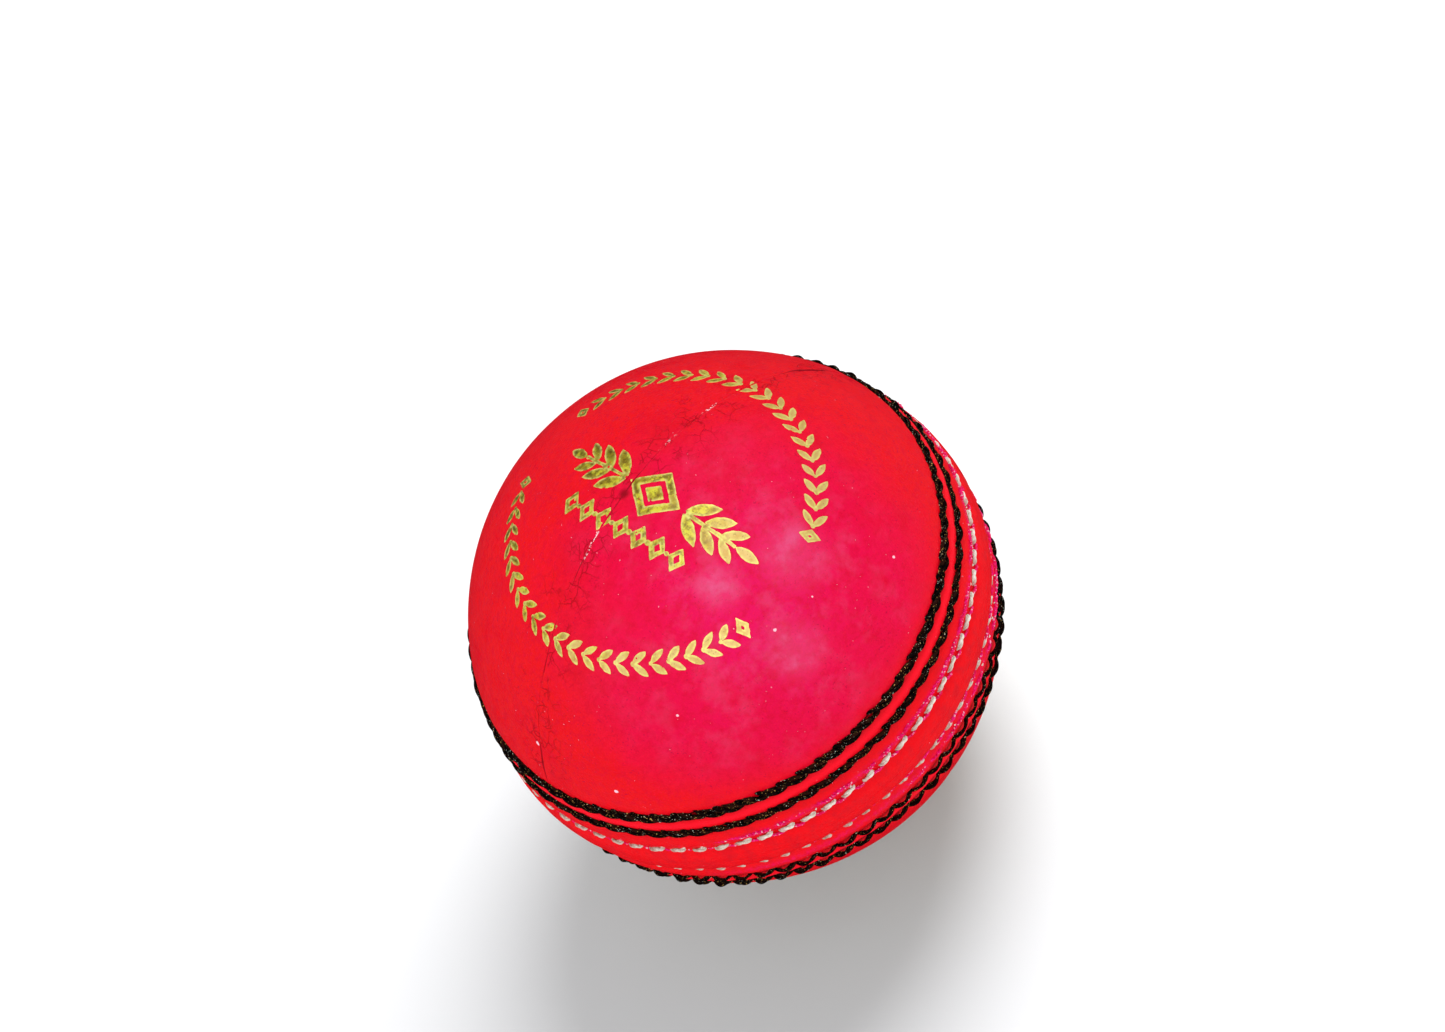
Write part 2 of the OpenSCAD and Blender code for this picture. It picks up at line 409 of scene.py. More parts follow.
def black_row(name, cup, lat0, amp, off, rad, mat, seed):
    """Slanted strands that overlap: each leaves its hole on the pole's side and dives on the seam's side."""
    r = np.random.default_rng(seed)
    n = 36
    t = np.linspace(-1, 1, n)
    half = (0.70 if cup > 0 else 0.57) * PL
    slim = 1.0 if cup > 0 else 0.75
    off, rad = off * slim, rad * slim
    az0 = (np.arange(N) + PHASE + (0.5 if cup < 0 and lat0 == LAT_A else 0)) * PITCH
    jit = lambda a: r.normal(0, a, (N, 1))
    x = t[None, :] * half * (1 + jit(0.02)) + jit(0.06)
    y = -(np.sin(t * 1.3)[None, :] / math.sin(1.3)) * amp * (1 + jit(0.10)) + jit(0.03)
    # each strand arches from hole to hole, low where it meets its neighbours
    arch = 0.37 if cup > 0 else 0.66
    base = -0.09 if cup > 0 else -0.02
    h = (row_profile(np.full(1, lat0))[0] + base + jit(0.02) + arch * (1 - 1.50 * (t[None, :] - 0.08) ** 2) * (1 + jit(0.06))
         + ends(t, -0.78, 0.84, 1.5, 2.0, 0.25, 0.35)[None, :])
    C, u = on_ball(x, y, h, az0[:, None], lat0)
    arc = arc_length(C)
    lay = 9.0
    taper = 1 - 0.22 * np.clip(-t, 0, 1) ** 2 - 0.10 * np.clip(t, 0, 1) ** 4
    turn = math.pi / 2 - 2 * math.pi * arc[:, int(n * 0.68)] / lay + r.normal(0, 0.30, N)
    parts = two_ply(C, u, (off * taper)[None, :] * np.ones((N, 1)), (rad * taper)[None, :] * (1 + jit(0.05)),
                    lay, turn, arc, sides=10)
    # fine stray plies along the pole's side
    t2 = np.linspace(-1, 1, 16)
    x2 = t2[None, :] * half * 0.5 + jit(0.5) - 0.35
    y2 = amp * 0.75 + 0.20 - 0.18 * t2[None, :] + jit(0.05)
    h2 = row_profile(np.full(1, lat0))[0] + 0.22 + jit(0.03) - 0.30 * np.abs(t2[None, :]) ** 2.5
    C2, u2 = on_ball(x2, y2, h2, az0[:, None], lat0)
    if cup > 0:
        parts.append(tubes(C2, (0.085 * (1 - 0.3 * t2 ** 2))[None, :] * (1 + jit(0.15)), u2, 6))
    return finish_row(name, cup, parts, mat, tint=(0.15, 0.85, 1.0)[:len(parts)])


def white_row(name, cup, mat, seed):
    """Short strands with gaps, a stained tail beside each, and a stained cord along the row."""
    r = np.random.default_rng(seed)
    n = 26
    t = np.linspace(-1, 1, n)
    worn = 1.0 if cup > 0 else 0.0
    half = 1.14 if cup > 0 else 1.0
    az0 = (np.arange(N) + 1 - PHASE) * PITCH
    flip = np.array([1, 1, cup])
    rightward = lambda p: np.clip((p @ np.array(right) + (0.12 if cup > 0 else -0.54)) / (0.24 if cup > 0 else 0.18), 0, 1)
    mid = np.radians(az0)
    dull = (1 - 0.55 * worn) * (1 - rightward(np.stack([np.cos(mid), np.sin(mid), np.zeros(N)], 1)))[:, None]
    jit = lambda a: r.normal(0, a, (N, 1))
    x = t[None, :] * half * (1 - 0.30 * (1 - worn) * dull) * (1 + jit(0.05)) + jit(0.06)
    y = t[None, :] * 0.17 * (1 + jit(0.25)) + jit(0.045)
    h = -0.17 - 0.07 * (1 - worn) - 0.15 * dull + jit(0.03) + 0.07 * (1 - t[None, :] ** 2) + ends(t, -0.45, 0.74, 1.5, 2.2, 0.62, 0.80)[None, :]
    C, u = on_ball(x, y, h, az0[:, None], LAT_W)
    arc = arc_length(C)
    taper = 1 - 0.42 * np.clip((0.35 - t) / 1.35, 0, 1) ** 1.3 - 0.12 * np.clip(t, 0, 1) ** 6
    turn = math.pi / 2 - 2 * math.pi * arc[:, n // 2] / 3.4 + r.normal(0, 0.5, N)
    parts = two_ply(C, u, ((0.120 + 0.035 * worn) * taper)[None, :] * np.ones((N, 1)), ((0.165 + 0.045 * worn) * taper)[None, :] * (1 + jit(0.06)),
                    3.4, turn, arc, sides=10)
    # dirt and painted shade: more towards each strand's tail, on the lower row, and towards the left of the main view
    leftward = 1 - rightward(u[:, n // 2] * flip)
    soil_and_shade = np.repeat(np.clip((0.25 + 0.6 * (1 - worn) - t) / 1.25, 0, 1), 10)
    soil_and_shade = np.clip(np.concatenate([soil_and_shade, [1.0, 0.0]])[None, :] + 0.45 * leftward[:, None], 0, 1).ravel()
    stain, dirt = [0.0, 0.0], [soil_and_shade, soil_and_shade]
    # stained tail: from each strand's head along the crown's side of the next one
    t2 = np.linspace(-1, 1, 20)
    x2 = half * 0.92 + 0.62 + t2[None, :] * 0.95 * (1 + jit(0.10))
    y2 = 0.02 - 0.24 * (t2[None, :] + 1) - 0.05 + jit(0.05)
    h2 = 0.03 + jit(0.03) - 0.22 * np.clip(-t2[None, :], 0, 1) ** 2 - 0.30 * np.clip(t2[None, :], 0, 1) ** 3
    C2, u2 = on_ball(x2, y2, h2 - 0.45 * leftward[:, None], az0[:, None], LAT_W)
    p2 = two_ply(C2, u2, 0.075 * np.ones((N, 20)), (0.130 * (1 - 0.25 * t2 ** 2))[None, :] * (1 + jit(0.12)),
                 1.5, r.uniform(0, 6.28, N), arc_length(C2), sides=7)
    parts += p2
    stain += [1.0, 1.0]
    dirt += [0.0, 0.0]
    # stained two-ply cord, half sunk in the leather between this row and the middle one
    m = 1500
    az = np.linspace(0, 361.0, m)
    lineq = np.stack([36 * np.cos(np.radians(az)), 36 * np.sin(np.radians(az)), np.full(m, 3.0 * cup)], 1)
    yc = (7.75 - LAT_W) * MMDEG + 0.10 * noise(lineq, 3.0, seed) + 0.05 * noise(lineq, 0.9, seed + 1)
    yc = yc - 0.10 * np.cos(np.radians(az / PITCH * 360))
    hc = (row_profile(np.full(1, 7.75))[0] + 0.03 + 0.05 * noise(lineq, 1.1, seed + 2)
          - 0.36 * np.clip(-2.2 * noise(lineq, 1.5, seed + 5) - 0.30, 0, 1)
          - 0.40 * (1 - rightward(lineq / 36.0)))
    C3, u3 = on_ball((np.radians(az) * R * math.cos(math.radians(LAT_W)))[None, :], yc[None, :], hc[None, :],
                     np.zeros((1, 1)), LAT_W)
    rc = 0.165 * (1 + 0.32 * noise(lineq, 0.8, seed + 3))
    parts += two_ply(C3, u3, 0.145 * np.ones((1, m)), rc[None, :], 1.05, np.zeros(1), arc_length(C3), sides=6)
    stain += [1.0, 1.0]
    dirt += [0.0, 0.0]
    # tufts of undyed fibre that show at the needle holes
    k = 64 if cup > 0 else 36
    t4 = np.linspace(-1, 1, 6)
    pick = r.choice(N, k, replace=False)
    a4 = (pick + 1 - PHASE) * PITCH + r.normal(0, 0.5, k)
    y4 = r.uniform(0.75, 1.5, k)
    th = r.uniform(-0.6, 0.9, k)
    ln = r.uniform(0.10, 0.22, k)
    h4 = r.uniform(0.04, 0.12, k)[:, None] - 0.10 * t4[None, :] ** 2 - 0.35 * dull[pick]
    C4, u4 = on_ball(1.1 + t4[None, :] * (ln * np.cos(th))[:, None], y4[:, None] + t4[None, :] * (ln * np.sin(th))[:, None],
                     h4, a4[:, None], LAT_W)
    parts.append(tubes(C4, (r.uniform(0.07, 0.12, k))[:, None] * (1 - 0.35 * t4[None, :] ** 2), u4, 7))
    stain.append(0.12)
    dirt.append(0.0)
    return finish_row(name, cup, parts, mat, stain=stain, dirt=dirt)


# ---------------------------------------------------------------- foil ornament
AZ_U = -62.25                # azimuth of the stamp's +u axis


def sd_segment(u, v, a, b):
    px, py = u - a[0], v - a[1]
    bx, by = b[0] - a[0], b[1] - a[1]
    t = np.clip((px * bx + py * by) / (bx * bx + by * by), 0, 1)
    return np.hypot(px - bx * t, py - by * t), t


def rotated(u, v, cu, cv, deg):
    c, s = math.cos(math.radians(deg)), math.sin(math.radians(deg))
    du, dv = u - cu, v - cv
    return du * c + dv * s, -du * s + dv * c


def sd_lozenge(x, y, a, b):
    return (np.abs(x) / a + np.abs(y) / b - 1) * (a * b / math.hypot(a, b))


def sd_leaf(x, y, a, b):
    """A pointed lens, 2a long and 2b wide."""
    rr = (a * a + b * b) / (2 * b)
    return np.hypot(x, np.abs(y) + rr - b) - rr


def stamp_sdf(u, v):
    """Signed distance in mm, below zero on the foil: two laurel arcs round a lozenge between leaves,
    and a short row of hollow lozenges. A plain geometric ornament."""
    d = np.full_like(u, 9.0)
    cu, cv, rad = 2.9, 0.0, 22.3
    for a0, a1, n in ((-6.0, 134.5, 22), (167.5, 312.5, 23)):
        for i in range(n):
            ang = math.radians(a0 + (a1 - a0) * i / (n - 1))
            x = cu + rad * math.cos(ang)
            y = cv + rad * math.sin(ang)
            lx, ly = rotated(u, v, x, y, math.degrees(ang) + 90)
            if i in (0, n - 1):
                d = np.minimum(d, np.abs(sd_lozenge(lx, ly, 1.0, 1.5) + 0.3) - 0.30)
                continue
            for side in (-1, 1):
                px, py = rotated(lx, ly, 0.0, side * 0.82, side * 37)
                d = np.minimum(d, sd_leaf(px, py, 1.28, 0.47))
            d = np.minimum(d, np.hypot(lx + 1.0, ly) - 0.27)
    tilt = -27.7
    x, y = rotated(u, v, 4.35, 0.0, tilt)
    ring = np.abs(sd_lozenge(x, y, 4.3, 3.6) + 0.55) - 0.52
    d = np.minimum(d, np.minimum(ring, sd_lozenge(x, y, 1.55, 1.3)))
    ax, ay = np.abs(x), np.abs(y)
    # sprays: a stem with three pairs of leaves and a leaf at the tip
    d = np.minimum(d, np.maximum(ay - 0.24, np.abs(ax - 9.2) - 3.9))
    for x0, ln, wd, deg in ((6.9, 2.35, 0.82, 38), (9.7, 2.10, 0.76, 36), (12.3, 1.75, 0.66, 34)):
        cy = 0.45 + ln * math.sin(math.radians(deg)) * 0.86
        px, py = rotated(ax, ay, x0, cy, deg)
        d = np.minimum(d, sd_leaf(px, py, ln, wd))
    d = np.minimum(d, sd_leaf(ax - 14.9, y, 1.75, 0.72))
    x, y = rotated(u, v, 0.45, -4.75, tilt + 2)
    for i in range(-3, 4):
        d = np.minimum(d, np.abs(sd_lozenge(x - i * 3.03, y, 1.25, 1.75) + 0.30) - 0.30)
        if i < 3:
            d = np.minimum(d, np.hypot(x - i * 3.03 - 1.515, ay * 0 + y) - 0.34)
    return d


def foil(name, mat):
    step = 0.13
    g = np.arange(-24.5, 28.0, step)
    nu = len(g)
    U, Vv = np.meshgrid(g, np.arange(-26.0, 26.0, step), indexing="ij")
    nv = U.shape[1]
    flat = np.stack([U.ravel(), Vv.ravel(), np.zeros(U.size)], 1)
    S = stamp_sdf(U, Vv).ravel()
    # worn outline, pinholes, and a bare line over the quarter seam
    S = S - 0.03 + 0.045 * noise(flat, 0.45, 61) + 0.05 * noise(flat, 1.6, 62)
    worn = fractal(flat, 0.8, 63)
    patch = 0.5 + 0.5 * noise(flat, 9.0, 64)
    S = np.maximum(S, (worn - 0.72 + 0.10 * patch) * 0.5)
    S = S.reshape(nu, nv)

    def to_ball(uv):
        rho = np.hypot(uv[:, 0], uv[:, 1]) / R
        az = np.arctan2(uv[:, 1], uv[:, 0]) + math.radians(AZ_U)
        return np.stack([np.sin(rho) * np.cos(az), np.sin(rho) * np.sin(az), np.cos(rho)], 1)

    P = to_ball(flat[:, :2])
    dy = np.abs(P[:, 1] * R)
    S = np.maximum(S, (0.16 + 0.07 * noise(flat, 0.7, 65) - dy).reshape(nu, nv))
    inside = S < 0
    nh, nvv = (nu - 1) * nv, nu * (nv - 1)
    # vertex codes: grid corners, then crossings on u edges, then crossings on v edges
    cu_, cv_ = np.meshgrid(np.arange(nu - 1), np.arange(nv - 1), indexing="ij")
    c0 = cu_ * nv + cv_
    c1 = (cu_ + 1) * nv + cv_
    c2 = (cu_ + 1) * nv + cv_ + 1
    c3 = cu_ * nv + cv_ + 1
    base_u, base_v = nu * nv, nu * nv + nh
    e0 = base_u + cu_ * nv + cv_              # c0-c1
    e2 = base_u + cu_ * nv + cv_ + 1          # c3-c2
    e3 = base_v + cu_ * (nv - 1) + cv_        # c0-c3
    e1 = base_v + (cu_ + 1) * (nv - 1) + cv_  # c1-c2
    code = (inside[:-1, :-1] * 1 + inside[1:, :-1] * 2 + inside[1:, 1:] * 4 + inside[:-1, 1:] * 8)
    ids = [x.ravel() for x in (c0, c1, c2, c3, e0, e1, e2, e3)]
    code = code.ravel()
    cases = {1: [[0, 4, 7]], 2: [[1, 5, 4]], 4: [[2, 6, 5]], 8: [[3, 7, 6]],
             3: [[0, 1, 5, 7]], 6: [[1, 2, 6, 4]], 12: [[2, 3, 7, 5]], 9: [[3, 0, 4, 6]],
             7: [[0, 1, 2, 6, 7]], 14: [[1, 2, 3, 7, 4]], 13: [[2, 3, 0, 4, 5]], 11: [[3, 0, 1, 5, 6]],
             5: [[0, 4, 7], [2, 6, 5]], 10: [[1, 5, 4], [3, 7, 6]], 15: [[0, 1, 2, 3]]}
    tri, walls = [], []
    for cd, polys in cases.items():
        sel = np.nonzero(code == cd)[0]
        if not len(sel):
            continue
        for poly in polys:
            for k in range(1, len(poly) - 1):
                tri.append(np.stack([ids[poly[0]][sel], ids[poly[k]][sel], ids[poly[k + 1]][sel]], 1))
            for a, b in zip(poly, poly[1:] + poly[:1]):
                if a > 3 and b > 3:
                    walls.append(np.stack([ids[a][sel], ids[b][sel]], 1))
    tri, walls = np.concatenate(tri), np.concatenate(walls)
    pos = np.zeros((nu * nv + nh + nvv, 2))
    pos[:nu * nv] = flat[:, :2]
    f = lambda a, b: np.clip(a / (a - b + 1e-12), 0.08, 0.92)
    tu = f(S[:-1, :], S[1:, :])
    pu = np.stack([U[:-1] + tu * step, Vv[:-1]], -1)
    pos[nu * nv:nu * nv + nh] = pu.reshape(-1, 2)
    tv = f(S[:, :-1], S[:, 1:])
    pv = np.stack([U[:, :-1], Vv[:, :-1] + tv * step], -1)
    pos[nu * nv + nh:] = pv.reshape(-1, 2)
    used, inv = np.unique(tri, return_inverse=True)
    tri = inv.reshape(-1, 3)
    look = np.zeros(len(pos), np.int64)
    look[used] = np.arange(len(used))
    walls = look[walls]
    uv = pos[used]
    P = to_ball(uv)
    P = quarter_wander(P, 1)
    H = leather_height(P)
    n = len(used)
    top = P * (R + H + 0.030)[:, None]
    bottom = P * (R + H - 0.040)[:, None]
    q = np.stack([walls[:, 1], walls[:, 0], walls[:, 0] + n, walls[:, 1] + n], 1)
    o = make_mesh(name, np.concatenate([top, bottom]), q, np.concatenate([tri, tri[:, ::-1] + n]), mats=[mat])
    on = np.zeros(2 * n, bool)
    on[walls.ravel()] = True
    sharp_edges(o, on)
    deep = stamp_sdf(uv[:, 0], uv[:, 1])
    float_attr(o, "edge", np.tile(np.exp(-(deep / 0.20) ** 2), 2))
    return o


# ---------------------------------------------------------------- wound core layers
def sphere_grid(n):
    """Unit vertices and quads of a subdivided cube, blown up to a sphere."""
    lin_ = np.tan(np.linspace(-math.pi / 4, math.pi / 4, n + 1))
    pts, faces = [], []
    for ax in range(3):
        for s in (-1, 1):
            a, b = np.meshgrid(lin_, lin_, indexing="ij")
            p = np.zeros((n + 1, n + 1, 3))
            p[..., ax] = s
            p[..., (ax + 1) % 3] = a * s
            p[..., (ax + 2) % 3] = b
            i = np.arange((n + 1) ** 2).reshape(n + 1, n + 1) + len(pts) * (n + 1) ** 2
            pts.append(p.reshape(-1, 3))
            faces.append(np.stack([i[:-1, :-1], i[1:, :-1], i[1:, 1:], i[:-1, 1:]], -1).reshape(-1, 4))
    P = np.concatenate(pts)
    P /= np.linalg.norm(P, axis=1)[:, None]
    _, first, inv = np.unique(np.round(P * 1e6).astype(np.int64), axis=0, return_index=True, return_inverse=True)
    return P[first], inv.ravel()[np.concatenate(faces)]


def yarn_layer(name, ro, ri, strands, width, mat, seed, n=108):
    """A wound shell: strands of yarn laid on great circles, some over others. The inside is plain."""
    P, Q = sphere_grid(n)
    r = np.random.default_rng(seed)
    h = np.full(len(P), -0.9)
    lit_crest = np.full(len(P), 0.35)
    shade = r.uniform(0, 1, strands)
    for k in range(strands):
        if k < 48:          # the first turns go once all the way round
            a = math.radians(30 * (k // 8))
            v, w = np.array([0.0, math.cos(a), math.sin(a)]), np.array([0.0, -math.sin(a), math.cos(a)])
        elif k % 8 == 0:    # eight turns side by side, then a new direction
            v = r.normal(size=3)
            v /= np.linalg.norm(v)
            w = np.cross(v, r.normal(size=3))
            w /= np.linalg.norm(w)
        ang = (k % 8 - 3.5) * width * 1.06 / ro
        ax = v * math.cos(ang) + w * math.sin(ang)
        d = np.arcsin(np.clip(P @ ax, -1, 1)) * ro
        e1 = np.cross(ax, (0.31, 0.72, 0.62))
        e1 /= np.linalg.norm(e1)
        t = np.arctan2(P @ np.cross(ax, e1), P @ e1) * ro
        twist = 0.09 * np.cos(2 * math.pi * (t / (width * 1.3) + d / width))
        prof = 1 - (d / (width * 0.5)) ** 2
        hh = 0.005 * k + (0.62 + twist) * np.clip(prof, 0, None) ** 0.7 - 0.62
        top = (prof > 0) & (hh > h)
        h = np.where(top, hh, h)
        # 1 on the crest of the top strand, falling off to its sides, times a random tone per strand; low values get
        # painted shade in the material
        lit_crest = np.where(top, np.clip(prof, 0, 1) ** 0.6 * (0.75 + 0.25 * shade[k]), lit_crest)
    h = h - h.max() - 0.02
    # sunk where the lining strips lie
    if ro > 31:
        q = P * ro
        for cup in (1, -1):
            off = np.abs(q[:, 1] if cup > 0 else q[:, 0])
            h = np.where((off < LINING / 2 + 0.6) & (q[:, 2] * cup > 3.2), np.minimum(h, -0.62), h)
    P2, Q2 = sphere_grid(24)
    V = np.concatenate([P * (ro + h)[:, None], P2 * ri])
    o = make_mesh(name, V, np.concatenate([Q, Q2[:, ::-1] + len(P)]), mats=[mat])
    float_attr(o, "lit_crest", np.concatenate([lit_crest, np.full(len(P2), 0.6)]))
    return o


# ---------------------------------------------------------------- materials
def lin(r, g, b):
    f = lambda c: c / 255 / 12.92 if c / 255 <= 0.04045 else ((c / 255 + 0.055) / 1.055) ** 2.4
    return (f(r), f(g), f(b), 1.0)


class Mat:
    def __init__(self, name, **sockets):
        self.m = bpy.data.materials.new(name)
        self.m.use_nodes = True
        self.t = self.m.node_tree
        self.b = self.t.nodes["Principled BSDF"]
        for k, v in sockets.items():
            self.b.inputs[k.replace("_", " ")].default_value = v
        co = self.t.nodes.new("ShaderNodeTexCoord")
        mp = self.n("ShaderNodeVectorMath", operation="SCALE")
        mp.inputs["Scale"].default_value = 1000.0     # millimetres
        self.t.links.new(co.outputs["Object"], mp.inputs[0])
        self.mm = mp.outputs[0]

    def n(self, kind, **props):
        x = self.t.nodes.new(kind)
        for k, v in props.items():
            setattr(x, k, v)
        return x

    def put(self, sock, value):
        if hasattr(value, "is_output"):
            self.t.links.new(value, sock)
        else:
            sock.default_value = value

    def noise(self, size, detail=2.0, rough=0.5, stretch=None, distortion=0.0):
        x = self.n("ShaderNodeTexNoise")
        v = self.mm
        if stretch:
            s = self.n("ShaderNodeVectorMath", operation="MULTIPLY")
            self.put(s.inputs[0], v)
            s.inputs[1].default_value = stretch
            v = s.outputs[0]
        self.put(x.inputs["Vector"], v)
        x.inputs["Scale"].default_value = 1.0 / size
        x.inputs["Detail"].default_value = detail
        x.inputs["Roughness"].default_value = rough
        x.inputs["Distortion"].default_value = distortion
        return x.outputs["Fac"]

    def voronoi(self, size, feature="F1", randomness=1.0, warp=0.0):
        x = self.n("ShaderNodeTexVoronoi", feature=feature)
        v = self.mm
        if warp:
            w = self.n("ShaderNodeTexNoise")
            self.put(w.inputs["Vector"], self.mm)
            w.inputs["Scale"].default_value = 0.8 / size
            w.inputs["Detail"].default_value = 3.0
            d = self.n("ShaderNodeVectorMath", operation="MULTIPLY_ADD")
            self.put(d.inputs[0], w.outputs["Color"])
            d.inputs[1].default_value = (warp * size,) * 3
            self.put(d.inputs[2], self.mm)
            v = d.outputs[0]
        self.put(x.inputs["Vector"], v)
        x.inputs["Scale"].default_value = 1.0 / size
        x.inputs["Randomness"].default_value = randomness
        return x.outputs["Distance"]

    def ramp(self, value, a, b, lo=0.0, hi=1.0, smooth=True):
        x = self.n("ShaderNodeMapRange", interpolation_type="SMOOTHSTEP" if smooth else "LINEAR")
        self.put(x.inputs[0], value)
        for i, v in enumerate((a, b, lo, hi)):
            x.inputs[i + 1].default_value = v
        return x.outputs[0]

    def math(self, op, a, b=0.0, c=0.0):
        x = self.n("ShaderNodeMath", operation=op)
        self.put(x.inputs[0], a)
        self.put(x.inputs[1], b)
        self.put(x.inputs[2], c)
        return x.outputs[0]

    def mix(self, fac, a, b):
        x = self.n("ShaderNodeMix", data_type="RGBA")
        self.put(x.inputs["Factor"], fac)
        self.put(x.inputs[6], a)
        self.put(x.inputs[7], b)
        return x.outputs[2]

    def attr(self, name):
        x = self.n("ShaderNodeAttribute", attribute_name=name)
        return x.outputs["Fac"]

    def bump(self, height, distance, normal=None, strength=1.0):
        x = self.n("ShaderNodeBump")
        x.inputs["Strength"].default_value = strength
        x.inputs["Distance"].default_value = distance
        self.put(x.inputs["Height"], height)
        if normal is not None:
            self.put(x.inputs["Normal"], normal)
        return x.outputs["Normal"]

    def set(self, name, value):
        self.put(self.b.inputs[name], value)


def leather_material():
    k = Mat("cover_leather", Specular_IOR_Level=0.06, Coat_Weight=0.005, Coat_Roughness=0.30, Coat_IOR=1.45)
    # a broad pink bloom on each cup, centred where the main view faces the ball: painted sheen carried in the dye
    # colour. It falls off to plain red, and the dye is mottled all over
    unit = k.n("ShaderNodeVectorMath", operation="NORMALIZE")
    k.put(unit.inputs[0], k.mm)
    dot = k.n("ShaderNodeVectorMath", operation="DOT_PRODUCT")
    k.put(dot.inputs[0], unit.outputs[0])
    dot.inputs[1].default_value = Vector((-0.0707, -0.6019, 0.7955)).normalized()
    sheen_angle = k.math("MULTIPLY", k.math("ARCCOSINE", k.math("ABSOLUTE", dot.outputs["Value"])), 57.2958)
    big = k.noise(9.0, 4.0, 0.6)
    sheen_angle = k.math("ADD", sheen_angle, k.math("MULTIPLY", k.math("SUBTRACT", big, 0.5), 30.0))
    red, sheen_rose, sheen_pink = lin(231, 10, 22), lin(229, 2, 68), lin(229, 6, 90)
    col = k.mix(k.ramp(sheen_angle, 52, 24), red, sheen_rose)
    col = k.mix(k.ramp(sheen_angle, 26, 4), col, sheen_pink)
    # fine mottling of the dye, darker flecks and duller rubbed clouds
    mottle = k.noise(0.9, 4.0, 0.65)
    col = k.mix(k.ramp(mottle, 0.42, 0.70, 0.0, 0.55), col, lin(210, 0, 44))
    fine = k.noise(0.26, 2.0, 0.6)
    col = k.mix(k.ramp(fine, 0.50, 0.72, 0.0, 0.36), col, lin(248, 16, 64))
    dots = k.math("MULTIPLY", k.ramp(k.noise(0.30, 1.0), 0.66, 0.70), k.ramp(k.noise(5.0, 1.0), 0.42, 0.58))
    col = k.mix(k.math("MULTIPLY", dots, 0.7), col, lin(186, 0, 56))
    patch = k.noise(4.0, 4.0, 0.6)
    col = k.mix(k.ramp(patch, 0.46, 0.76, 0.0, 0.50), col, lin(214, 0, 34))
    # pale wisps near the middle of the cup and round the front of the main view: painted sheen, over a haze of rubbed
    # lacquer that is also rougher
    wisp = k.ramp(k.noise(3.8, 5.0, 0.60), 0.44, 0.70)
    haze_and_sheen = k.math("MULTIPLY", wisp, k.math("MULTIPLY", k.ramp(sheen_angle, 46, 10), 0.26))
    for x, y, size in ((0.20, 0.22, 11.0), (0.22, -0.12, 9.0), (-0.06, 0.10, 7.0)):
        dt = k.n("ShaderNodeVectorMath", operation="DOT_PRODUCT")
        k.put(dt.inputs[0], unit.outputs[0])
        dt.inputs[1].default_value = seen_at(x, y)
        blob = k.ramp(k.math("MULTIPLY", k.math("ARCCOSINE", dt.outputs["Value"]), 57.2958), size, 1.0)
        haze_and_sheen = k.math("MAXIMUM", haze_and_sheen, k.math("MULTIPLY", blob, k.math("ADD", 0.25, k.math("MULTIPLY", wisp, 0.60))))
    col = k.mix(k.math("MULTIPLY", haze_and_sheen, 0.92), col, lin(224, 94, 142))
    # seam band is a cleaner, hotter red, partly brightened as painted light where the stitch rows shade it
    band = k.attr("band")
    hot = k.mix(k.ramp(k.noise(1.6, 4.0, 0.6), 0.40, 0.72), lin(238, 6, 20), lin(218, 12, 28))
    col = k.mix(k.math("MULTIPLY", band, 0.92), col, hot)
    # a brighter red strip between the outer and middle black rows: painted light where the thread rows shade it
    col = k.mix(k.attr("lit_lane"), col, lin(251, 12, 38))
    # stained pink beside the closing rows
    ridge = k.attr("ridge")
    beads = k.ramp(k.noise(0.6, 3.0, 0.6), 0.38, 0.64)
    col = k.mix(k.math("MULTIPLY", ridge, k.math("ADD", 0.15, k.math("MULTIPLY", beads, 0.60))), col, lin(236, 10, 88))
    # dark red creases beside the quarter seam: painted shade in the creases, which the bump also cuts
    near = k.math("MULTIPLY", k.attr("near"), k.ramp(k.noise(3.2, 2.0), 0.44, 0.58))
    net = k.ramp(k.voronoi(2.1, "DISTANCE_TO_EDGE", warp=1.1), 0.0, 0.055, 1.0, 0.0)
    net2 = k.ramp(k.voronoi(1.1, "DISTANCE_TO_EDGE", warp=0.8), 0.0, 0.05, 0.8, 0.0)
    crease = k.math("MULTIPLY", near, k.math("MAXIMUM", net, k.math("MULTIPLY", net2, k.ramp(k.noise(1.6, 1.0), 0.50, 0.60))))
    col = k.mix(k.math("MULTIPLY", crease, 0.80), col, lin(168, 0, 18))
    # cracks: dark in the bottom as painted shade, pale flecks on the lips
    crack = k.attr("crack")
    col = k.mix(k.ramp(crack, 0.22, 0.70, 0.0, 0.85), col, lin(132, 0, 18))
    lip = k.attr("lip")
    fleck = k.math("MULTIPLY", lip, k.ramp(k.noise(0.42, 3.0, 0.65), 0.540, 0.57))
    col = k.mix(fleck, col, lin(254, 222, 228))
